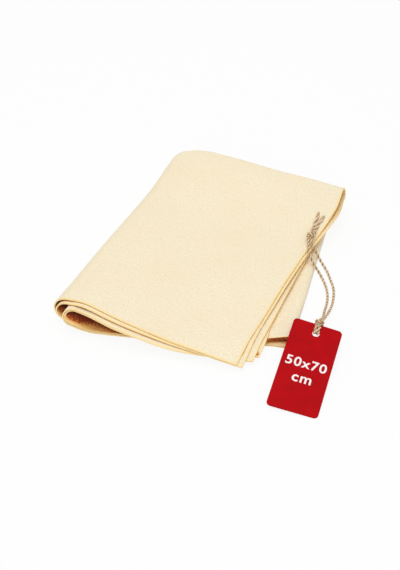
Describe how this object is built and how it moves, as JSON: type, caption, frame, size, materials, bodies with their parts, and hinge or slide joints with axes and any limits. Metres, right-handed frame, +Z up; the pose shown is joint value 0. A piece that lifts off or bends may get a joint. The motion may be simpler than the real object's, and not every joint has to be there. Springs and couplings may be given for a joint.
{
  "type": "synthetic chamois cloth",
  "caption": "Folded nonwoven cleaning cloth lying flat, with a red card hang tag that hinges on a knotted loop of jute twine.",
  "frame": {"origin": "on the surface that the cloth lies on, under the middle of the folded cloth's box", "axes": "+Z up, +Y along the folded cloth's long side towards its far cross fold, +X towards its cut edges and the tag"},
  "size_m": [0.2574, 0.2866, 0.0257],
  "materials": {
    "cloth": "matt, finely mottled nonwoven in pale cream",
    "tag_card": "red printed card, lightly coated",
    "twine": "two-ply jute twine, hairy"
  },
  "bodies": {
    "folded_cloth": {"cloth": "cloth", "twine_strand_left": "twine", "twine_strand_right": "twine", "twine_knot": "twine", "twine_tail_left": "twine", "twine_tail_right": "twine"},
    "hang_tag": {"tag": "tag_card", "twine_hitch": "twine"}
  },
  "joints": [
    {"name": "tag_swing", "type": "hinge", "parent": "folded_cloth", "child": "hang_tag", "pos_m": [0.11865, -0.0485, 0.01395], "axis": [-0.9903, -0.1392, 0], "range_deg": [0, 150]}
  ]
}
